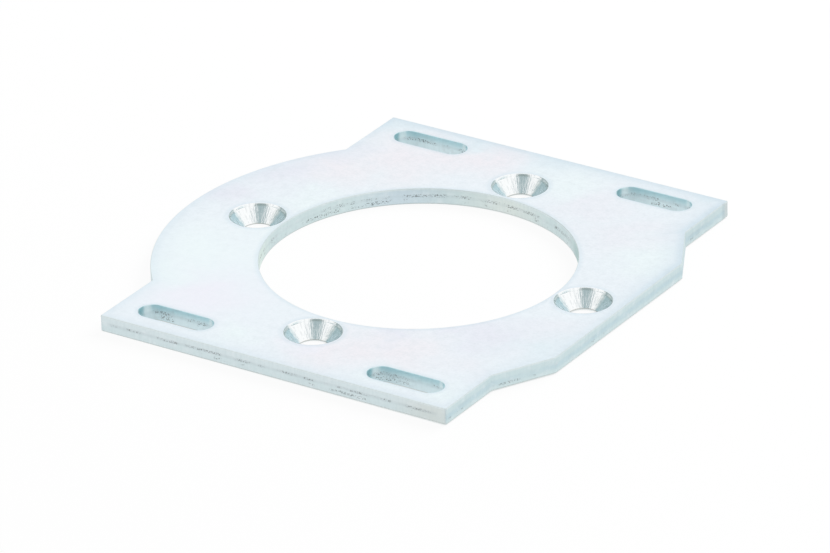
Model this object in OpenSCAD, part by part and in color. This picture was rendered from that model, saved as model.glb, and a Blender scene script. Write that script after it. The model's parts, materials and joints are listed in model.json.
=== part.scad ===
// Gearbox flange bracket: one flat steel plate, cut to outline and zinc plated.
// The gearbox's spigot sits in the large bore, and countersunk screws on a circle
// round it clamp the gearbox to the underside. Four slots bolt the plate to a frame
// and let it slide along X. A round lobe and a tapered ear widen the plate where the
// screw circle comes close to its sides.
// Origin: the bore's axis, on the underside. X runs along the slots and towards the
// ear, Y along the plate's long side, Z up through the plate. Sizes are millimetres.

/* [Plate] */
// Thickness of the plate
plate_t = 5; // [5:0.5:12]
// Width of the 45 degree break along every edge of the top face
edge_break = 0.2; // [0.05:0.05:0.4]

/* [Gearbox flange] */
// Diameter of the gearbox's locating spigot
spigot_d = 95; // [60:0.5:110]
// Clearance between spigot and bore, on the diameter
spigot_clearance = 0.5; // [0.1:0.05:1]
// Distance from the spigot's edge out to the screw circle
screw_offset = 10; // [9.5:0.25:14]
// Number of screws on the circle, the first one on the ear's side
screw_count = 4; // [3:1:8]
// Thread diameter of the gearbox screws
screw_d = 8; // [4:1:8]
// Clearance between a screw and its hole, on the diameter
screw_clearance = 1; // [0.3:0.1:2]
// Diameter of a countersink's straight step
sink_d = 17.2; // [12:0.1:18]
// Included angle of a countersink's cone
sink_angle = 90; // [82:1:120]
// Depth of the straight step that takes the top of the screw's head
sink_step = 0.8; // [0.4:0.1:1.5]

/* [Frame slots] */
// Thread diameter of the bolts that hold the plate to the frame
frame_bolt_d = 8; // [4:1:10]
// Clearance between a bolt and its slot, across the slot
frame_bolt_clearance = 0.4; // [0.2:0.1:2]
// Length of a slot, from end to end
slot_l = 25; // [14:0.5:35]
// Distance between slot centres along X
slot_spacing_x = 80; // [70:1:110]
// Distance between slot centres along Y
slot_spacing_y = 140; // [135:1:180]

/* [Outline] */
// Distance from a slot's centre to the plate's long side
slot_side = 20; // [18:0.5:30]
// Distance from a slot's centre to the plate's end
slot_end = 10; // [7:0.5:20]
// Radius of the plate's four outer corners
corner_r = 1; // [0.5:0.1:6]
// Distance from the screw circle to the lobe's round edge
lobe_margin = 22.5; // [12:0.5:30]
// Distance from the screw circle to the ear's straight edge
ear_margin = 12.5; // [10:0.5:30]
// Length of the ear's straight edge
ear_flat_l = 72; // [30:1:90]
// Length of the ear where it leaves the plate's long side
ear_base_l = 110; // [92:1:130]

/* [Hidden] */
bore_d = spigot_d + spigot_clearance;
screw_circle_d = spigot_d + 2 * screw_offset;
screw_hole_d = screw_d + screw_clearance;
slot_w = frame_bolt_d + frame_bolt_clearance;

body_w = slot_spacing_x + 2 * slot_side;
body_l = slot_spacing_y + 2 * slot_end;
lobe_r = screw_circle_d / 2 + lobe_margin;
ear_x = screw_circle_d / 2 + ear_margin;

// Height at which the break of the top edges starts
shoulder_z = plate_t - edge_break;
// Height of the wedges that break the ear's edges, enough to clear the top face at both ends
wedge_h = 2 * edge_break;
// Height at which a countersink's cone meets its straight step, and the cone's depth
sink_z = plate_t - sink_step;
sink_h = (sink_d - screw_hole_d) / 2 / tan(sink_angle / 2);
// How far the lobe and the ear run into the body, and where they end inside it
lap = 5;
lap_x = body_w / 2 - lap;
// How far a cut runs past the faces that it goes through
cut_over = 1;

$fn = 144;

// Straight strip along Y with its two long top edges broken, centred on the origin
module strip(w, l) {
    rotate([90, 0, 0])
        linear_extrude(l, center = true)
            polygon([
                [-w / 2, 0],
                [w / 2, 0],
                [w / 2, shoulder_z],
                [w / 2 - edge_break, plate_t],
                [edge_break - w / 2, plate_t],
                [-w / 2, shoulder_z]
            ]);
}

// Round disc with its top edge broken
module disc(r) {
    rotate_extrude()
        polygon([
            [0, 0],
            [r, 0],
            [r, shoulder_z],
            [r - edge_break, plate_t],
            [0, plate_t]
        ]);
}

// Straight body with rounded corners: two crossed strips and four corner discs
module body() {
    strip(body_w, body_l - 2 * corner_r);
    rotate(90)
        strip(body_l, body_w - 2 * corner_r);
    for (sx = [-1, 1], sy = [-1, 1])
        translate([sx * (body_w / 2 - corner_r), sy * (body_l / 2 - corner_r), 0])
            disc(corner_r);
}

// Round lobe, concentric with the bore, on the side away from the ear
module lobe() {
    intersection() {
        disc(lobe_r);
        translate([-lap_x - 2 * lobe_r, -2 * lobe_r, -cut_over])
            cube([2 * lobe_r, 4 * lobe_r, plate_t + 2 * cut_over]);
    }
}

// Wedge that breaks the top edge from a to b of a straight side, with the plate on its
// left. It is widest half way and runs to a point a full length past each end.
module edge_wedge(a, b) {
    run = b - a;
    inward = [-run.y, run.x] / norm(run) * wedge_h;
    middle = (a + b) / 2;
    polyhedron(
        points = [
            concat(a - run, shoulder_z),
            concat(b + run, shoulder_z),
            concat(middle + inward, shoulder_z + wedge_h),
            concat(middle - inward, shoulder_z + wedge_h)
        ],
        faces = [[0, 1, 2], [0, 3, 1], [0, 2, 3], [1, 3, 2]]
    );
}

// Tapered ear: a straight edge square to X between two sloping flanks
module ear() {
    rim = [
        [body_w / 2, -ear_base_l / 2],
        [ear_x, -ear_flat_l / 2],
        [ear_x, ear_flat_l / 2],
        [body_w / 2, ear_base_l / 2]
    ];
    root = [[lap_x, ear_base_l / 2], [lap_x, -ear_base_l / 2]];
    difference() {
        linear_extrude(plate_t)
            polygon(concat(rim, root));
        for (i = [0 : len(rim) - 2])
            edge_wedge(rim[i], rim[i + 1]);
    }
}

// Round cut from height z0 up through the top face, with its top rim broken
module round_cut(d, z0 = -cut_over) {
    translate([0, 0, z0])
        cylinder(h = plate_t + cut_over - z0, d = d);
    translate([0, 0, shoulder_z])
        cylinder(h = edge_break + cut_over, d1 = d, d2 = d + 2 * (edge_break + cut_over));
}

// Cut for one screw: clearance hole, cone for the head, straight step at the top
module screw_cut() {
    translate([0, 0, -cut_over])
        cylinder(h = plate_t, d = screw_hole_d);
    translate([0, 0, sink_z - sink_h])
        cylinder(h = sink_h, d1 = screw_hole_d, d2 = sink_d);
    round_cut(sink_d, sink_z);
}

// Cut for one slot along X: a round cut at each end and a straight run between them
module slot_cut() {
    run_l = slot_l - slot_w;
    flare = edge_break + cut_over;
    for (s = [-1, 1])
        translate([s * run_l / 2, 0, 0])
            round_cut(slot_w);
    rotate([90, 0, 90])
        linear_extrude(run_l, center = true)
            polygon([
                [-slot_w / 2, -cut_over],
                [slot_w / 2, -cut_over],
                [slot_w / 2, shoulder_z],
                [slot_w / 2 + flare, shoulder_z + flare],
                [-slot_w / 2 - flare, shoulder_z + flare],
                [-slot_w / 2, shoulder_z]
            ]);
}

// The whole bracket: body, lobe and ear in one plate, with its bore, holes and slots
module flange_plate() {
    color("#dfe8ee")
        difference() {
            union() {
                body();
                lobe();
                ear();
            }
            round_cut(bore_d);
            for (i = [0 : screw_count - 1])
                rotate(i * 360 / screw_count)
                    translate([screw_circle_d / 2, 0, 0])
                        screw_cut();
            for (sx = [-1, 1], sy = [-1, 1])
                translate([sx * slot_spacing_x / 2, sy * slot_spacing_y / 2, 0])
                    slot_cut();
        }
}

flange_plate();
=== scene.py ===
# %% [markdown]
# # Gearbox flange bracket
# The object is one flat steel plate that joins a gearbox to a machine's frame. It is cut from sheet,
# countersunk for four screws and zinc plated, and the plating has the pale blue, faintly clouded look of a
# passivate. This lesson rebuilds the plate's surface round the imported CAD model, edge by edge, and gives it
# three finishes: the plated face, the cut edge and the turned countersink.

import json
import math

import bmesh
import bpy
from mathutils import Matrix, Vector


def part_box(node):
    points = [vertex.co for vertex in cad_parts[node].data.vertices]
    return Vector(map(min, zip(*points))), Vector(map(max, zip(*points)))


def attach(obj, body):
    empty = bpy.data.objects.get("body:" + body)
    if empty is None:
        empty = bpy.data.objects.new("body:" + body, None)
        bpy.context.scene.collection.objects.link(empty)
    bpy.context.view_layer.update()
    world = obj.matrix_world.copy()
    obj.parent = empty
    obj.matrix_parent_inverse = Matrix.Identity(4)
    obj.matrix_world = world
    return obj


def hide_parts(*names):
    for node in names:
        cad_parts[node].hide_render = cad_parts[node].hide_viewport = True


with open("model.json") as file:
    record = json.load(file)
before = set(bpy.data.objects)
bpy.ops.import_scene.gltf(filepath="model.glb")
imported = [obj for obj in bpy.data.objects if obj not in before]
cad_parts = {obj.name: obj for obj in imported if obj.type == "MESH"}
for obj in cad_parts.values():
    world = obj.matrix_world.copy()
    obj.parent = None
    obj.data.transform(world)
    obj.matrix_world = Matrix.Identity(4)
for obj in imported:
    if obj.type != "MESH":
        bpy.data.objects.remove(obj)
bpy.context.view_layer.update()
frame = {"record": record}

# %% [markdown]
# ## Sizes
# Blender works in metres here, in the CAD model's own frame. Most sizes come from that frame: the plate's box
# gives its thickness and reach, and the record's mounts give the bore, the screw circle and the slots. Only
# the sizes that neither holds are written down, as named values in millimetres.

# %% Read the plate's sizes from the frame
MM = 0.001
PLATE_NODE = "flange_plate"
mounts = {mount["name"]: mount["dims"] for mount in frame["record"]["mounts"]}
plate_low, plate_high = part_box(PLATE_NODE)

plate_t = plate_high.z - plate_low.z
end_y = plate_high.y
ear_x = plate_high.x
lobe_r = -plate_low.x

bore_r = mounts["gearbox_bore"]["r_mm"] * MM
screw_circle_r = mounts["gearbox_screws"]["pcd_mm"] / 2 * MM
screw_count = mounts["gearbox_screws"]["count"]
screw_hole_r = mounts["gearbox_screws"]["hole_r_mm"] * MM

slot_x = mounts["frame_slots"]["spacing_x_mm"] / 2 * MM
slot_y = mounts["frame_slots"]["spacing_y_mm"] / 2 * MM
slot_r = mounts["frame_slots"]["hole_r_mm"] * MM
slot_run = mounts["frame_slots"]["slot_length_mm"] * MM - 2 * slot_r

slot_side = 20 * MM
side_x = slot_x + slot_side
ear_half_flat = 36 * MM
ear_half_base = 55 * MM
corner_r = 0.3 * MM
sink_r = 8.6 * MM
sink_step = 0.8 * MM
step_draft = 0.23 * MM
print(f"plate {plate_t / MM:.2f} mm thick, bore radius {bore_r / MM:.2f} mm, {screw_count} screws")

# %% [markdown]
# ## A walk along the cut
# On the real plate a cutting beam runs along every edge once. The edge it leaves has a small rounding from
# deburring and plating, and a fine seam at half height where the beam's smooth upper zone ends. Bevelling a
# finished solid would struggle with nine holes in one face, so the walk does what the beam does: it draws the
# edge's section once, as a few vertices, then moves it forward with extrude and round corners with spin. The
# steel stays on the left of the walk.

# %% Walk an edge section round a loop
UP = Vector((0, 0, 1))
MERGE_GAP = 0.002 * MM
ARC_STEP = 1.2 * MM
ARC_ANGLE = math.radians(6)
ROUND_SEGMENTS = 4
ROUND_SHARE = 0.98
FACE, CUT, CONE = range(3)


def is_vert(item):
    return isinstance(item, bmesh.types.BMVert)


def is_edge(item):
    return isinstance(item, bmesh.types.BMEdge)


class EdgeWalk:
    """Carries a section of the plate's edge along straight runs and turns, with the steel on its left."""

    def __init__(self, bm, start, heading, section):
        self.bm = bm
        self.place = Vector((*start, 0))
        self.heading = heading
        self.length = 0
        self.draw(section)

    def ahead(self):
        return Vector((math.cos(self.heading), math.sin(self.heading), 0))

    def left(self):
        return UP.cross(self.ahead())

    def draw(self, section):
        """Draws the section from corners of (distance into the steel, height, rounding)."""
        verts = [
            self.bm.verts.new(self.place + self.left() * into + UP * height) for into, height, _ in section
        ]
        for pair in zip(verts, verts[1:]):
            self.bm.edges.new(pair)
        for vert, (_, _, rounding) in zip(verts, section):
            if rounding:
                bmesh.ops.bevel(
                    self.bm, geom=[vert], offset=rounding, offset_type="OFFSET", affect="VERTICES",
                    segments=ROUND_SEGMENTS, profile=0.5, material=-1,
                )
        self.edges = [edge for edge in self.bm.edges if edge.is_wire]

    def forward(self, length):
        grown = bmesh.ops.extrude_edge_only(self.bm, edges=self.edges)["geom"]
        bmesh.ops.translate(self.bm, vec=self.ahead() * length, verts=list(filter(is_vert, grown)))
        self.edges = list(filter(is_edge, grown))
        self.place += self.ahead() * length
        self.length += length

    def turn(self, angle, radius):
        """Turns left for a positive angle and right for a negative one."""
        centre = self.place + self.left() * math.copysign(radius, angle)
        arc = abs(angle) * radius
        verts = {vert for edge in self.edges for vert in edge.verts}
        spun = bmesh.ops.spin(
            self.bm, geom=[*verts, *self.edges], cent=centre, axis=UP, angle=angle,
            steps=math.ceil(max(arc / ARC_STEP, abs(angle) / ARC_ANGLE)),
            use_merge=math.isclose(abs(angle), math.tau),
        )["geom_last"]
        self.edges = list(filter(is_edge, spun))
        self.place = centre + Matrix.Rotation(angle, 3, "Z") @ (self.place - centre)
        self.heading += angle
        self.length += arc

    def close(self, finish):
        """Joins the end of the walk to its start and gives the new faces their finish."""
        bmesh.ops.remove_doubles(self.bm, verts=self.bm.verts[:], dist=MERGE_GAP)
        for face in self.bm.faces:
            if face.material_index == FACE:
                face.smooth = True
                face.material_index = finish
        return self.length


rim = 0.2 * MM
foot = 0.08 * MM
seam_z = plate_t / 2
seam_depth = 0.015 * MM
seam_half = 0.12 * MM


def cut_section(groove):
    """The corners of a cut edge, from the top rim to the foot, with a groove at half height."""
    return [
        (rim, plate_t, 0),
        (0, plate_t, rim * ROUND_SHARE),
        (0, seam_z + seam_half, 0),
        (groove, seam_z, 0),
        (0, seam_z - seam_half, 0),
        (0, 0, foot * ROUND_SHARE),
        (foot, 0, 0),
    ]


plate_bm = bmesh.new()
print("section corners:", len(cut_section(seam_depth)))

# %% [markdown]
# ## Outline
# The plate's outline is a straight body with a round lobe on one side and a tapered ear on the other. The
# lobe is concentric with the bore, so its edge is one long spin about the origin. The walk starts on the
# ear's side, near the front corner, and goes once round, counter-clockwise. Where a turn takes the place of a
# sharp corner, the straight runs next to it get shorter by the turn's tangent.

# %% Walk the outline
bend_r = 0.6 * MM
bay_r = 0.5 * MM
flank = Vector((ear_x - side_x, ear_half_base - ear_half_flat))
flank_angle = math.atan2(flank.x, flank.y)
bend_tangent = bend_r * math.tan(flank_angle / 2)
bay_tangent = bay_r * math.tan(flank_angle / 2)
bay_x = side_x + bay_r
bay_y = math.sqrt((lobe_r + bay_r) ** 2 - bay_x**2)
bay_angle = math.atan2(bay_y, bay_x)

outline = EdgeWalk(plate_bm, (side_x, corner_r - end_y), math.pi / 2, cut_section(seam_depth))
outline.forward(end_y - corner_r - ear_half_base - bay_tangent)
outline.turn(-flank_angle, bay_r)
outline.forward(flank.length - bay_tangent - bend_tangent)
outline.turn(flank_angle, bend_r)
outline.forward(2 * (ear_half_flat - bend_tangent))
outline.turn(flank_angle, bend_r)
outline.forward(flank.length - bay_tangent - bend_tangent)
outline.turn(-flank_angle, bay_r)
outline.forward(end_y - corner_r - ear_half_base - bay_tangent)
outline.turn(math.pi / 2, corner_r)
outline.forward(2 * (side_x - corner_r))
outline.turn(math.pi / 2, corner_r)
outline.forward(end_y - corner_r - bay_y)
outline.turn(-bay_angle, bay_r)
outline.turn(2 * bay_angle, lobe_r)
outline.turn(-bay_angle, bay_r)
outline.forward(end_y - corner_r - bay_y)
outline.turn(math.pi / 2, corner_r)
outline.forward(2 * (side_x - corner_r))
outline.turn(math.pi / 2, corner_r)
print(f"outline {outline.close(CUT) / MM:.1f} mm round, {len(plate_bm.faces)} faces")

# %% [markdown]
# ## Bore and slots
# The bore locates the gearbox's spigot and the four slots let the plate slide on its frame bolts. They are
# holes, so the walk goes clockwise to keep the steel on its left: the bore is one full spin, and a slot is
# two runs and two half turns. The bore's seam is half as deep as the outline's, and the slots have none.

# %% Walk the bore and the slots
bore = EdgeWalk(plate_bm, (bore_r, 0), -math.pi / 2, cut_section(seam_depth / 2))
bore.turn(-math.tau, bore_r)
print(f"bore {bore.close(CUT) / MM:.1f} mm round")

for slot_centre in ((sx * slot_x, sy * slot_y) for sx in (-1, 1) for sy in (-1, 1)):
    slot_start = (slot_centre[0] - slot_run / 2, slot_centre[1] + slot_r)
    slot = EdgeWalk(plate_bm, slot_start, 0, cut_section(groove=0))
    for _ in range(2):
        slot.forward(slot_run)
        slot.turn(-math.pi, slot_r)
    print(f"slot {slot.close(CUT) / MM:.1f} mm round")

# %% [markdown]
# ## Countersinks
# A countersink is turned with a rotating cutter after the plate is cut: a short step at the top, whose wall
# leans in a little, a 90 degree cone for the screw's head, and a thin land of the clearance hole below it.
# The same walk makes it from another section, which runs down the cone towards the hole's axis.

# %% Walk the countersinks
cone_run = sink_r - screw_hole_r
land_z = plate_t - sink_step - cone_run
sink_section = [
    (rim, plate_t, 0),
    (0, plate_t, rim * ROUND_SHARE),
    (-step_draft, plate_t - sink_step, 0),
    (-cone_run, land_z, 0),
    (-cone_run, 0, foot * ROUND_SHARE),
    (foot - cone_run, 0, 0),
]
screw_angles = [index * math.tau / screw_count for index in range(screw_count)]
screw_centres = [Vector((math.cos(a), math.sin(a), 0)) * screw_circle_r for a in screw_angles]
for screw_centre in screw_centres:
    sink = EdgeWalk(plate_bm, (screw_centre.x + sink_r, screw_centre.y), -math.pi / 2, sink_section)
    sink.turn(-math.tau, sink_r)
    print(f"countersink {sink.close(CONE) / MM:.1f} mm round at {screw_centre[:]}")

# %% [markdown]
# ## Faces
# What is left open are the flat top and underside, each a sheet with nine holes. One face can't have a hole
# in Blender, so a triangle fill closes each sheet from its rims. Normals are recalculated once the shell is
# closed, and edges that are sharper than the roundings stay crisp.

# %% Fill the top and the underside, and make the piece
CRISP = math.radians(26)
for level in (plate_t, 0):
    rims = [
        edge for edge in plate_bm.edges
        if edge.is_boundary and all(abs(vert.co.z - level) < MERGE_GAP for vert in edge.verts)
    ]
    sheet = bmesh.ops.triangle_fill(plate_bm, use_beauty=True, edges=rims, normal=UP)["geom"]
    print(f"sheet at {level / MM:.1f} mm: {len(rims)} rim edges, {len(sheet)} new faces and edges")
bmesh.ops.recalc_face_normals(plate_bm, faces=plate_bm.faces[:])
for edge in plate_bm.edges:
    edge.smooth = edge.calc_face_angle(0) < CRISP

plate_mesh = bpy.data.meshes.new("zinc_plate")
plate_bm.to_mesh(plate_mesh)
print(f"{len(plate_mesh.polygons)} faces, volume {plate_bm.calc_volume() / MM**3:.0f} cubic mm")
print("open edges:", sum(not edge.is_manifold for edge in plate_bm.edges))
plate_bm.free()

zinc_plate = bpy.data.objects.new("zinc_plate", plate_mesh)
bpy.context.scene.collection.objects.link(zinc_plate)
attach(zinc_plate, "root")
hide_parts(PLATE_NODE)

# %% [markdown]
# ## Shader maths as Python
# A finish is a recipe of patterns, and node trees are hard to read as code. The small class below wraps a
# node's output, so that plus, minus and times on two of them add Math nodes. One method adds any other node:
# its settings first, then its sockets.

# %% Wrap sockets and nodes


class Shade:
    """A number or colour that varies over a surface."""

    def __init__(self, tree, socket):
        self.tree = tree
        self.socket = socket

    def apply(self, operation, *others):
        return self.tree.add("ShaderNodeMath", {"operation": operation}, dict(enumerate((self, *others))))

    def __add__(self, other):
        return self.apply("ADD", other)

    __radd__ = __add__

    def __mul__(self, other):
        return self.apply("MULTIPLY", other)

    __rmul__ = __mul__

    def __sub__(self, other):
        return self.apply("SUBTRACT", other)

    def __rsub__(self, other):
        return self * -1 + other

    def __truediv__(self, other):
        return self.apply("DIVIDE", other)

    def __rtruediv__(self, other):
        return self**-1 * other

    def __pow__(self, other):
        return self.apply("POWER", other)

    def __abs__(self):
        return self.apply("ABSOLUTE")

    def least(self, other):
        return self.apply("MINIMUM", other)

    def most(self, other):
        return self.apply("MAXIMUM", other)

    def fade(self, start, end):
        """0 up to start and 1 from end on, with a soft change between them."""
        return self.tree.add(
            "ShaderNodeMapRange", {"interpolation_type": "SMOOTHSTEP"},
            {"Value": self, "From Min": start, "From Max": end},
        )


class Recipe:
    """A node tree that is filled by adding nodes, for a material or the world."""

    def __init__(self, owner):
        owner.use_nodes = True
        self.nodes = owner.node_tree.nodes
        self.links = owner.node_tree.links
        self.nodes.clear()

    def add(self, kind, settings=None, sockets=None, out=0):
        """Adds a node, sets it up, fills its sockets and returns one of its outputs."""
        node = self.nodes.new(kind)
        for name, value in (settings or {}).items():
            setattr(node, name, value)
        for name, value in (sockets or {}).items():
            socket = node.inputs[name]
            if isinstance(value, Shade):
                self.links.new(value.socket, socket)
            elif socket.type == "RGBA":
                socket.default_value = (*value, 1)
            else:
                socket.default_value = value
        return Shade(self, node.outputs[out]) if node.outputs else None

    def vector(self, operation, *values, out="Vector"):
        return self.add("ShaderNodeVectorMath", {"operation": operation}, dict(enumerate(values)), out)

    def place(self, stretch=(1, 1, 1)):
        """The point on the piece, in millimetres, with each axis multiplied by stretch."""
        point = self.add("ShaderNodeTexCoord", out="Object")
        return self.vector("MULTIPLY", point, [factor / MM for factor in stretch])

    def axis(self, vector, name):
        return self.add("ShaderNodeSeparateXYZ", None, {"Vector": vector}, name)

    def noise(self, place, size, detail=2.0, out="Fac"):
        """Soft noise with features about size across, in the units of place."""
        sockets = {"Vector": place, "Scale": 1 / size, "Detail": detail}
        return self.add("ShaderNodeTexNoise", None, sockets, out)

    def blend(self, factor, first, second):
        """The first colour where factor is 0 and the second where it is 1."""
        factor_socket, first_socket, second_socket, colour_out = 0, 6, 7, 2
        return self.add(
            "ShaderNodeMix", {"data_type": "RGBA"},
            {factor_socket: factor, first_socket: first, second_socket: second}, colour_out,
        )

    def mix(self, factor, first, second):
        """The first shader where factor is 0 and the second where it is 1."""
        return self.add("ShaderNodeMixShader", None, {0: factor, 1: first, 2: second})


def metal(recipe, colour, roughness, relief, depth):
    """Ends a recipe in a metal whose surface rises and falls by depth, in millimetres, with relief."""
    normal = recipe.add("ShaderNodeBump", None, {"Height": relief, "Distance": depth * MM})
    surface = recipe.add(
        "ShaderNodeBsdfPrincipled", None,
        {"Base Color": colour, "Roughness": roughness, "Metallic": 1, "Normal": normal},
    )
    recipe.add("ShaderNodeOutputMaterial", None, {"Surface": surface})


print("shader helpers are ready")

# %% [markdown]
# ## Plated face
# Zinc with a pale blue passivate is almost white. Its film is thinner in some places than in others, which
# gives soft blooms a few centimetres across, from rose and mauve to violet, teal and cyan. Along the edges it
# turns bluer, most of all along the back and towards the corner where the bath drained last. Fine grey flecks
# lie over it all, with fewer of them in one clean patch. A noise alone would put the blooms anywhere, so a
# few soft spots are listed and a noise frays their rims. The distance to the outline and to the holes
# is worked out from the plate's own sizes, so the border follows every edge. The nearest screw needs no
# search: its direction is the point's own direction from the bore's axis, rounded to whole steps.

# %% Finish of the plated face
ZINC_BLUE = (0.882, 0.940, 0.986)
ZINC_ROSE = (0.918, 0.902, 0.945)
ZINC_MAUVE = (0.886, 0.912, 0.964)
ZINC_LILAC = (0.904, 0.914, 0.980)
ZINC_VIOLET = (0.853, 0.874, 0.946)
ZINC_TEAL = (0.825, 0.915, 0.962)
ZINC_CYAN = (0.888, 0.968, 0.990)
ZINC_BORDER = (0.670, 0.790, 0.870)
ZINC_GREY = (0.640, 0.705, 0.745)
ROSE_SPOTS = (
    (-40, 56, 28), (-30, 63, 20), (-20, 71, 22), (-54, 42, 22),
    (9, -66, 20), (18, -60, 20), (28, -54, 22),
)
MAUVE_SPOTS = ((27, 57, 20), (44, 44, 24), (60, -24, 16), (50, -54, 14))
LILAC_SPOTS = ((-42, -53, 24), (2, -66, 10))
VIOLET_SPOTS = ((-68, 32, 20), (-75, 10, 14), (-61, 51, 15), (46, -33, 21), (35, -36, 9), (20, -46, 11))
TEAL_SPOTS = ((2, 78, 18), (-27, 79, 10), (-56, 77, 12), (56, 78, 9), (62, -33, 16))
CYAN_SPOTS = (
    (-60, -26, 30), (-66, -44, 20), (-48, 16, 15), (12, 66, 16), (58, 34, 18),
    (-20, -72, 14), (36, -73, 12), (54, -72, 10), (-46, -6, 16),
)
FILM_TINTS = (
    (ZINC_ROSE, ROSE_SPOTS),
    (ZINC_MAUVE, MAUVE_SPOTS),
    (ZINC_LILAC, LILAC_SPOTS),
    (ZINC_VIOLET, VIOLET_SPOTS),
    (ZINC_TEAL, TEAL_SPOTS),
    (ZINC_CYAN, CYAN_SPOTS),
)
DRAIN_CORNER = (68, 50, 0)
DRAIN_REACH = 75
DRAIN_CORE = 20
BACK_START_Y = 62
BACK_FULL_Y = 78
CLEAN_SPOT = (-48, -42, 0)
CLEAN_REACH = 52
CLEAN_CORE = 12
FRAY_SIZE = 14
FRAY_SHIFT = 24
CLOUD_SIZE = 9
MOTTLE_SIZE = 2.6
FLECK_SIZE = 0.8
WIDE_FILM = 10
RIM_FILM = 3.5
HOLE_FILM = 2.2
FILM_FULL = 0.2


def outline_gap(recipe, flat):
    """Distance in millimetres from a point of the flat face to the plate's outline."""
    x = recipe.axis(flat, "X")
    y = abs(recipe.axis(flat, "Y"))
    flank_x, flank_y = flank / flank.length
    body = (side_x / MM - abs(x)).least(end_y / MM - y)
    lobe = (lobe_r / MM - recipe.vector("LENGTH", flat, out="Value")).least(side_x / MM / 2 - x)
    slope = (side_x / MM - x) * flank_y + (ear_half_base / MM - y) * flank_x
    ear = (ear_x / MM - x).least(slope).least(ear_half_base / MM - y).least(x)
    return body.most(lobe).most(ear)


def along_slot(recipe, flat):
    """The way along X from the middle of the nearest slot, in millimetres."""
    x = recipe.axis(flat, "X")
    return x - x.apply("SIGN") * (slot_x / MM)


def slot_gap(recipe, flat):
    """Distance in millimetres from a point to the wall of the nearest slot."""
    past_run = abs(along_slot(recipe, flat)) - slot_run / MM / 2
    across = abs(recipe.axis(flat, "Y")) - slot_y / MM
    return (past_run.most(0) ** 2 + across**2) ** 0.5 - slot_r / MM


def from_screw(recipe, flat):
    """The way to a point from the axis of the nearest screw, in millimetres."""
    step = math.tau / screw_count
    turn = recipe.axis(flat, "Y").apply("ARCTAN2", recipe.axis(flat, "X"))
    nearest = (turn / step).apply("ROUND") * step
    ray = recipe.add("ShaderNodeCombineXYZ", None, {"X": nearest.apply("COSINE"), "Y": nearest.apply("SINE")})
    return recipe.vector("MULTIPLY_ADD", ray, [-screw_circle_r / MM] * 3, flat)


def bloom(recipe, flat, spots):
    """1 in the middle of the spots, fading to 0 at their rims."""
    total = 0
    for x, y, reach in spots:
        total = recipe.vector("DISTANCE", flat, (x, y, 0), out="Value").fade(reach, 0).most(total)
    return total


def zinc_face():
    material = bpy.data.materials.new("zinc_face")
    recipe = Recipe(material)
    place = recipe.place()
    flat = recipe.place((1, 1, 0))
    fray = recipe.vector("SUBTRACT", recipe.noise(place, FRAY_SIZE, 4, "Color"), (0.5, 0.5, 0.5))
    frayed = recipe.vector("MULTIPLY_ADD", fray, (FRAY_SHIFT, FRAY_SHIFT, 0), flat)
    mottle = recipe.noise(place, MOTTLE_SIZE, 5)
    clouds = recipe.noise(place, CLOUD_SIZE, 3)
    screws = recipe.vector("LENGTH", from_screw(recipe, flat), out="Value") - (sink_r + rim) / MM
    bore_gap = recipe.vector("LENGTH", flat, out="Value") - bore_r / MM
    holes = bore_gap.least(screws).least(slot_gap(recipe, flat))
    drained = recipe.vector("DISTANCE", flat, DRAIN_CORNER, out="Value").fade(DRAIN_REACH, DRAIN_CORE)
    drained = drained.most(recipe.axis(flat, "Y").fade(BACK_START_Y, BACK_FULL_Y) * 0.8)
    gap = outline_gap(recipe, flat)
    outline_film = gap.fade(RIM_FILM, FILM_FULL) * 0.55 + gap.fade(WIDE_FILM, 0) * 0.45
    hole_film = holes.fade(HOLE_FILM, FILM_FULL) * 0.4
    border = (outline_film * (0.38 + 0.47 * drained) * (0.7 + 0.6 * clouds)).most(hole_film)
    colour = ZINC_BLUE
    for tint, spots in FILM_TINTS:
        colour = recipe.blend(bloom(recipe, frayed, spots), colour, tint)
    colour = recipe.blend(border, colour, ZINC_BORDER)
    flecks = recipe.noise(place, FLECK_SIZE, 3)
    clean = recipe.vector("DISTANCE", frayed, CLEAN_SPOT, out="Value").fade(CLEAN_REACH, CLEAN_CORE)
    grey = mottle.fade(0.35, 0.75) * 0.12 + flecks.fade(0.35, 0.7) * 0.14
    colour = recipe.blend(grey * (1 - 0.6 * clean), colour, ZINC_GREY)
    metal(recipe, colour, 0.34 + 0.12 * mottle, mottle, 0.004)
    return material


plate_mesh.materials.append(zinc_face())
print("plated face:", len(plate_mesh.materials[FACE].node_tree.nodes), "nodes")
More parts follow.
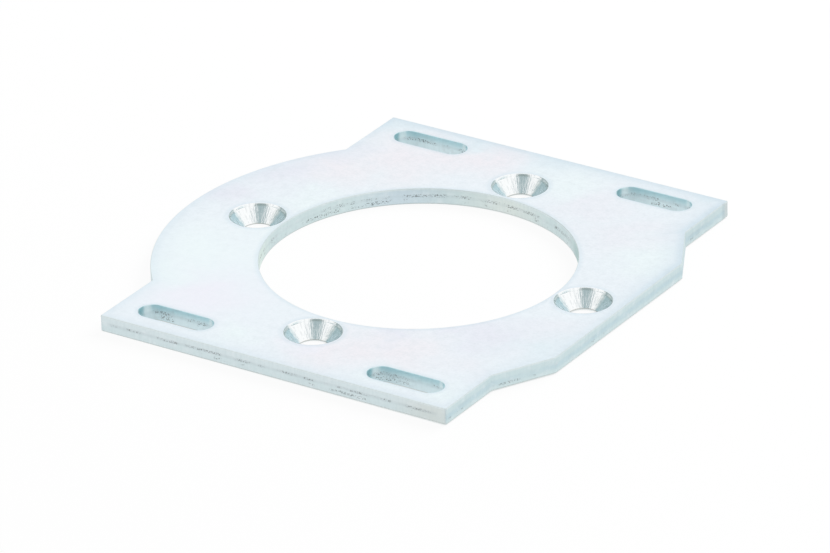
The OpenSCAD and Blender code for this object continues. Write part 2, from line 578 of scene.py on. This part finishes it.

# %% [markdown]
# ## Cut edge
# The cut edge is plated too, but the beam leaves it in zones: a pale crest under the top edge, a clean upper
# zone with fine upright drag lines, a grey streak where the beam starts to lag, and a lower zone. Small dark
# pits crowd along that streak and along a second row below it, more on the plate's ends than on the ear's
# side, and in the bore and the slots they scatter. The ear's side has a bluer band and a pale foot. Streak
# and pits stop short of the outer corners, whose edges carry thin lines of painted shade, and the back
# corner is duller. A dark line of painted contact shadow runs along the foot of every wall, and a teal
# patch of painted shade lies on the bore's wall at one end. In the slots the upper part gets a deeper teal
# of painted shade, standing for the facing wall's reflection, with more painted shade low at one end and a
# dark tip there, and a painted highlight near each end. Height is the Z of Object coordinates, so one
# finish fits every wall, whichever way it faces.

# %% Finish of the cut edge
CUT_CREST = (0.785, 0.860, 0.868)
CUT_UPPER = (0.750, 0.842, 0.866)
CUT_LOWER = (0.722, 0.830, 0.852)
CUT_EAR = (0.668, 0.796, 0.816)
CUT_EAR_BAND = (0.585, 0.736, 0.788)
CUT_EAR_FOOT = (0.700, 0.830, 0.845)
CUT_BORE = (0.680, 0.800, 0.808)
CUT_PALE = (0.840, 0.900, 0.930)
CUT_STREAK_AND_SHADE = (0.480, 0.550, 0.580)
CUT_DRAG = (0.520, 0.620, 0.650)
CUT_PIT = (0.060, 0.065, 0.065)
# Colour of the painted contact shadow along the foot of the walls.
PAINTED_FOOT_SHADOW = (0.420, 0.440, 0.420)
CUT_CORNER = (0.660, 0.730, 0.735)
# Slot colours: painted shade under the upper rim, low at one end and at its tip, and a painted highlight.
SLOT_RIM_SHADE = (0.575, 0.798, 0.846)
SLOT_LOW = (0.742, 0.878, 0.916)
SLOT_SHADE = (0.640, 0.785, 0.825)
SLOT_TIP_SHADE = (0.430, 0.670, 0.710)
SLOT_HIGHLIGHT = (0.800, 0.910, 0.930)
STAINS_AND_SHADE = (
    ((0.790, 0.850, 0.815), ((2, 48, 20),)),
    ((0.730, 0.780, 0.760), ((55, -81, 16),)),
    ((0.640, 0.750, 0.820), ((-30, 37, 20),)),
    # Painted shade: a dark teal patch on the bore's wall at its right end.
    ((0.440, 0.680, 0.660), ((39, 28, 14),)),
    ((0.770, 0.890, 0.820), ((-43, -21, 16),)),
)
STREAK_Z = 2.6
LOW_ROW_Z = 1.2
EAR_BAND_Z = 2.1
HIGHLIGHT_LEFT_X = -11.7
HIGHLIGHT_RIGHT_X = 9.7
HIGHLIGHT_REACH = 1.1
HIGHLIGHT_CORE = 0.3
SHADE_FULL_X = -9
SHADE_END_X = 0
TIP_START_X = -12.15
TIP_FULL_X = -12.55
CORNER_LINE_R = 2.6
CORNER_DULL_R = 2.4
CORNER_DULL_CORE = 1.4
CLEAR_START_R = 1.5
CLEAR_FULL_R = 5
FLANK_SPOTS = ((65, -45, 13),)
PIT_SPOTS = (
    (-54, -80, 3), (-48, -80, 4), (-37, -80, 6), (-24, -80, 9),
    (-11, -80, 6), (6, -80, 5), (36, -80, 8), (51, -80, 8),
    (2, 48, 16), (-20, 43, 16), (-42, 22, 10), (26, 40, 10),
    (33, -66, 9), (-47, -66, 6), (34, 74, 10), (-46, 74, 8), (-32, 74, 5),
)
LOW_PIT_SPOTS = (
    (27, -80, 10), (-45, 16, 9), (-36, 32, 11), (62, -51.5, 9),
    (33, -66, 8), (-46, -66, 5), (40, 74, 6), (-30, 74, 7),
)


def cut_edge():
    material = bpy.data.materials.new("cut_edge")
    recipe = Recipe(material)
    place = recipe.place()
    flat = recipe.place((1, 1, 0))
    height = recipe.axis(place, "Z")
    top = plate_t / MM
    sway = recipe.noise(place, 9, 2) - 0.5
    drag = recipe.noise(recipe.place((1, 1, 0.2)), 0.9, 3)
    fine = recipe.noise(recipe.place((1, 1, 1.3)), 0.42, 2)
    clusters = recipe.noise(place, 3.5, 2)
    patches = recipe.noise(recipe.place((1, 1, 1.5)), 3, 4)
    in_bore = (recipe.vector("LENGTH", flat, out="Value") - bore_r / MM).fade(1, 0.5)
    in_slot = slot_gap(recipe, flat).fade(1, 0.5)
    ear_side = recipe.axis(flat, "X").fade(side_x / MM - 0.3, side_x / MM - 0.05)

    scatter = in_slot.most(in_bore * 0.7)
    row = abs(height - STREAK_Z + sway * 0.6)
    low_row = abs(height - LOW_ROW_Z + sway * 0.6)
    crowd = clusters + bloom(recipe, flat, PIT_SPOTS) * 0.2 - ear_side * 0.25
    low_crowd = clusters + bloom(recipe, flat, LOW_PIT_SPOTS) * 0.34
    ear_band = ear_side * abs(height - EAR_BAND_Z + sway * 1.6).fade(1.4, 0.2) * (0.35 + 0.8 * clusters)
    ear_band = ear_band * (1 - 0.6 * bloom(recipe, flat, FLANK_SPOTS))
    to_corner = recipe.vector(
        "DISTANCE", recipe.vector("ABSOLUTE", flat), (side_x / MM, end_y / MM, 0), out="Value"
    )
    clear = to_corner.fade(CLEAR_START_R, CLEAR_FULL_R)
    streak = row.fade(0.8, 0.1) * crowd.fade(0.2, 0.6) * (1 - in_bore * 0.4) * clear
    to_back = recipe.vector("DISTANCE", flat, (side_x / MM, end_y / MM, 0), out="Value")
    # Painted shade: thin dark lines on the walls at the outer corners and a little way from the back corner.
    back_shade_line = abs(to_back - CORNER_LINE_R).fade(1.3, 0.2) * 0.35
    corner_shade_line = back_shade_line.most(to_corner.fade(0.75, 0.25) * 0.25)
    pit_row = (row - scatter * 0.25).fade(0.55, 0.1) * crowd.fade(0.5, 0.66) * clear
    low_pit_row = (low_row - scatter * 0.25).fade(0.6, 0.15) * low_crowd.fade(0.6, 0.72)
    pit_grain = (fine - scatter * 0.06).fade(0.46, 0.62)
    pits = pit_row.most(low_pit_row) * pit_grain * (0.62 + 0.26 * scatter)

    along = along_slot(recipe, flat)
    # Painted shade and painted highlights in the slots: deeper teal under the rim, shade low at one end, a
    # dark tip, a highlight near each end.
    highlight_left, highlight_right = (abs(along - x).fade(HIGHLIGHT_REACH, HIGHLIGHT_CORE) for x in (HIGHLIGHT_LEFT_X, HIGHLIGHT_RIGHT_X))
    highlights = highlight_left.most(highlight_right) * height.fade(2.0, 3.4)
    slot_low = recipe.blend(along.fade(SHADE_FULL_X, SHADE_END_X), SLOT_SHADE, SLOT_LOW)
    slot_shading = recipe.blend(height.fade(1.9, top + 0.4), slot_low, SLOT_RIM_SHADE)
    slot_shading = recipe.blend(highlights * 0.7, slot_shading, SLOT_HIGHLIGHT)
    slot_shading = recipe.blend(along.fade(TIP_START_X, TIP_FULL_X), slot_shading, SLOT_TIP_SHADE)

    colour = recipe.blend(height.fade(2.0, 3.0), CUT_LOWER, CUT_UPPER)
    colour = recipe.blend(ear_side, colour, CUT_EAR)
    colour = recipe.blend(ear_band, colour, CUT_EAR_BAND)
    colour = recipe.blend(height.fade(1.3, 0.6) * ear_side * 0.8, colour, CUT_EAR_FOOT)
    colour = recipe.blend(in_bore * 0.9, colour, CUT_BORE)
    # Stains on the walls, and one patch of painted shade in the bore.
    for tint, spots in STAINS_AND_SHADE:
        colour = recipe.blend(bloom(recipe, flat, spots) * (0.8 - 0.8 * ear_side), colour, tint)
    colour = recipe.blend(patches.fade(0.5, 0.75) * 0.4, colour, CUT_PALE)
    colour = recipe.blend(to_back.fade(CORNER_DULL_R, CORNER_DULL_CORE), colour, CUT_CORNER)
    colour = recipe.blend(height.fade(top - 0.8, top - 0.1) * 0.9, colour, CUT_CREST)
    colour = recipe.blend(in_slot, colour, slot_shading)
    colour = recipe.blend(drag.fade(0.4, 0.75) * 0.15, colour, CUT_DRAG)
    colour = recipe.blend(streak.most(patches.fade(0.5, 0.3) * in_slot * 0.8) * 0.28, colour, CUT_STREAK_AND_SHADE)
    # The streak colour also draws the painted shade lines at the corners.
    colour = recipe.blend(corner_shade_line, colour, CUT_STREAK_AND_SHADE)
    # Painted contact shadow: a dark line along the foot of every wall.
    colour = recipe.blend(height.fade(0.25, 0.05) * 0.6, colour, PAINTED_FOOT_SHADOW)
    colour = recipe.blend(pits, colour, CUT_PIT)
    metal(recipe, colour, 0.42 + 0.1 * drag, drag + fine * 0.5 - pits * 2, 0.01)
    return material


plate_mesh.materials.append(cut_edge())
print("cut edge:", len(plate_mesh.materials[CUT].node_tree.nodes), "nodes")

# %% [markdown]
# ## Turned countersink
# The cutter leaves the cone brighter and smoother than the face, but it chatters: shallow flats run down the
# cone towards the hole, and small torn spots lie between them. Both are relief, so they break up the dark
# bands that the studio draws in the cone. The pattern is laid on the cone as if it were unrolled: the way
# round it comes from the direction to the screw's axis, and the way down it from the height. One side of
# every countersink gets a bluer painted shade, greyer on the step, and the foot of the hole gets a dark
# line of painted contact shadow.

# %% Finish of the countersinks
CONE_BRIGHT = (0.965, 0.985, 0.988)
CONE_LINE = (0.400, 0.480, 0.510)
# Colours of the painted shade on one side of each countersink: bluer on the cone, greyer on the step.
CONE_SIDE_SHADE = (0.610, 0.755, 0.810)
CONE_SHADE = (0.575, 0.655, 0.660)
CONE_FOOT_SHADOW = (0.260, 0.240, 0.190)
SHADE_SIDE_ANGLE = math.radians(-53)
CHATTER_STRETCH = 0.12
CHATTER_SIZE = 0.55
TEAR_STRETCH = 0.7
TEAR_SIZE = 0.8


def turned_cone():
    material = bpy.data.materials.new("turned_cone")
    recipe = Recipe(material)
    round_axis = recipe.vector("NORMALIZE", from_screw(recipe, recipe.place((1, 1, 0))))
    height = recipe.axis(recipe.place(), "Z")
    mean_r = (sink_r + screw_hole_r) / 2 / MM
    chatter, tears = (
        recipe.noise(
            recipe.vector("MULTIPLY_ADD", round_axis, [mean_r] * 3, recipe.place((0, 0, along))), size, 3
        )
        for along, size in ((CHATTER_STRETCH, CHATTER_SIZE), (TEAR_STRETCH, TEAR_SIZE))
    )
    # Painted shade on one side of every countersink, bluer on the cone and greyer on the step.
    shade_way = (math.cos(SHADE_SIDE_ANGLE), math.sin(SHADE_SIDE_ANGLE), 0)
    side_shade = (recipe.vector("DOT_PRODUCT", round_axis, shade_way, out="Value") + tears * 0.3).fade(-0.52, -0.3)
    below_step = (plate_t - sink_step) / MM - height
    side_shade_colour = recipe.blend(below_step.fade(-0.1, 0.5), CONE_SHADE, CONE_SIDE_SHADE)
    colour = recipe.blend(side_shade * (0.8 + 0.4 * tears), CONE_BRIGHT, side_shade_colour)
    lines = chatter.fade(0.54, 0.72) * 0.22
    spots = tears.fade(0.54, 0.68) * (0.2 + 0.22 * side_shade)
    colour = recipe.blend(lines.most(spots), colour, CONE_LINE)
    # Painted contact shadow: a dark line round the foot of the hole.
    colour = recipe.blend(height.fade(0.3, 0.08) * 0.6, colour, CONE_FOOT_SHADOW)
    relief = (chatter * 1.7 + tears * 0.8 - 1.25) * (0.4 + 0.6 * below_step.fade(-0.3, 0.5))
    metal(recipe, colour, 0.12 + 0.12 * tears, relief, 0.07)
    return material


plate_mesh.materials.append(turned_cone())
print("countersink:", len(plate_mesh.materials[CONE].node_tree.nodes), "nodes")

# %% [markdown]
# ## Studio
# The plate lies on a white table in a white studio. A metal shows what is round it, so the world is white for
# the camera and for reflections, with dim gaps where a studio has them: above the lens, and low between the
# side lights and the backdrop. The gaps draw the dark bands in the countersinks. The table is nearly white
# and keeps a faint shadow, which one large soft lamp pulls towards the camera. It leans a little and lies
# just under the plate, so a thin line of shade shows below the edge, which ambient occlusion finds.

# %% Table, lamp and world
CAMERA_AZIMUTH = 32.95
WHITE = (1, 1, 1)
TABLE_MATT = (0.95, 0.95, 0.95)
TABLE_HALF = 3
TABLE_DROP = 0.33 * MM
TABLE_LEAN = math.atan(0.0032)
CONTACT_SHADE = (0.56, 0.63, 0.63)
CONTACT_REACH = 1.5 * MM
LAMP_AZIMUTH = 128
LAMP_ELEVATION = 40
LAMP_DISTANCE = 1.6
LAMP_SIZE = 1.2
LAMP_ENERGY = 18
SEEN_WHITE = 0.92
SOFT_LEVEL = 0.65
STUDIO_GAPS = (
    (-24, 62, 10, 26, (0.36, 0.46, 0.48)),
    (-125, 22, 23, 33, (0.56, 0.62, 0.61)),
    (135, 14, 16, 26, (0.68, 0.79, 0.80)),
    (-15, 6, 17, 32, (0.30, 0.37, 0.37)),
    (70, 10, 4, 22, (0.80, 0.88, 0.90)),
)


def studio_direction(azimuth, elevation):
    """Direction in the studio, with the azimuth in degrees from the camera's own towards its right."""
    turn = math.radians(CAMERA_AZIMUTH - 90 + azimuth)
    tilt = math.radians(elevation)
    return Vector((math.cos(turn) * math.cos(tilt), math.sin(turn) * math.cos(tilt), math.sin(tilt)))


def seen_ray(recipe):
    """1 for rays that show a surface or its mirror image, and 0 for rays that only light one."""
    camera, glossy, through = (
        recipe.add("ShaderNodeLightPath", out=f"Is {ray} Ray") for ray in ("Camera", "Glossy", "Transmission")
    )
    return camera.most(glossy).most(through)


def white_table():
    material = bpy.data.materials.new("white_table")
    recipe = Recipe(material)
    open_sky = recipe.add("ShaderNodeAmbientOcclusion", {"samples": 8}, {"Distance": CONTACT_REACH}, "AO")
    shade = recipe.blend(open_sky.fade(0.4, 0.1), WHITE, CONTACT_SHADE)
    matt = recipe.add("ShaderNodeBsdfDiffuse", None, {"Color": TABLE_MATT})
    glow = recipe.add("ShaderNodeEmission", None, {"Color": shade, "Strength": 1})
    table = recipe.mix(seen_ray(recipe) * SEEN_WHITE, matt, glow)
    recipe.add("ShaderNodeOutputMaterial", None, {"Surface": table})
    return material


table_bm = bmesh.new()
bmesh.ops.create_grid(table_bm, x_segments=1, y_segments=1, size=TABLE_HALF)
lean = Matrix.Rotation(TABLE_LEAN, 3, "Y")
bmesh.ops.rotate(table_bm, cent=(0, 0, 0), matrix=lean, verts=table_bm.verts)
bmesh.ops.translate(table_bm, vec=UP * (plate_low.z - TABLE_DROP), verts=table_bm.verts)
table_mesh = bpy.data.meshes.new("table")
table_bm.to_mesh(table_mesh)
table_bm.free()
table_mesh.materials.append(white_table())
table = bpy.data.objects.new("table", table_mesh)
bpy.context.scene.collection.objects.link(table)

world = bpy.data.worlds.new("studio")
bpy.context.scene.world = world
world.cycles.sampling_method = "NONE"
studio = Recipe(world)
look = studio.add("ShaderNodeTexCoord", out="Generated")
glossy = studio.add("ShaderNodeLightPath", out="Is Glossy Ray")
wall_colour = WHITE
for azimuth, elevation, core, reach, tint in STUDIO_GAPS:
    closeness = studio.vector("DOT_PRODUCT", look, studio_direction(azimuth, elevation), out="Value")
    gap = closeness.fade(math.cos(math.radians(reach)), math.cos(math.radians(core)))
    wall_colour = studio.blend(gap * glossy, wall_colour, tint)
walls = studio.add("ShaderNodeBackground", None, {"Color": wall_colour})
light = studio.add("ShaderNodeBackground", None, {"Color": WHITE, "Strength": SOFT_LEVEL})
studio.add("ShaderNodeOutputWorld", None, {"Surface": studio.mix(seen_ray(studio), light, walls)})

lamp_data = bpy.data.lights.new("soft_lamp", "AREA")
lamp_data.shape = "DISK"
lamp_data.size = LAMP_SIZE
lamp_data.energy = LAMP_ENERGY
lamp = bpy.data.objects.new("soft_lamp", lamp_data)
lamp_direction = studio_direction(LAMP_AZIMUTH, LAMP_ELEVATION)
lamp.location = lamp_direction * LAMP_DISTANCE
lamp.rotation_euler = lamp_direction.to_track_quat("Z", "Y").to_euler()
lamp.visible_glossy = False
bpy.context.scene.collection.objects.link(lamp)
bpy.context.scene.view_settings.view_transform = "Standard"
print("studio gaps:", len(STUDIO_GAPS), "lamp at", lamp.location[:])

# %% [markdown]
# ## Camera
# The photograph was taken with a long lens from well away, so its lines are almost parallel. The azimuth,
# elevation, small roll and distance were fitted to the plate's corners and holes. The camera's own axes are
# built from the direction back to the lens, which avoids guessing at Euler angles.

# %% Place the camera
CAMERA_ELEVATION = 26.077
CAMERA_ROLL = -1.191
CAMERA_DISTANCE = 2.2449
CAMERA_TARGET = Vector((6.105, -11.559, 5)) * MM
LENS_PIXELS = 7567.56
IMAGE_WIDTH = 830
SENSOR_WIDTH = 36

camera_back = studio_direction(0, CAMERA_ELEVATION)
camera_right = UP.cross(camera_back).normalized()
camera_axes = Matrix((camera_right, camera_back.cross(camera_right), camera_back)).transposed()
camera_data = bpy.data.cameras.new("photo_camera")
camera_data.sensor_width = SENSOR_WIDTH
camera_data.lens = LENS_PIXELS * SENSOR_WIDTH / IMAGE_WIDTH
camera = bpy.data.objects.new("photo_camera", camera_data)
camera.matrix_world = (
    Matrix.Translation(CAMERA_TARGET + camera_back * CAMERA_DISTANCE)
    @ camera_axes.to_4x4()
    @ Matrix.Rotation(math.radians(CAMERA_ROLL), 4, "Z")
)
bpy.context.scene.collection.objects.link(camera)
bpy.context.scene.camera = camera
print(f"lens {camera_data.lens:.1f} mm at {camera.location[:]}")

# %% Update the scene
bpy.context.view_layer.update()
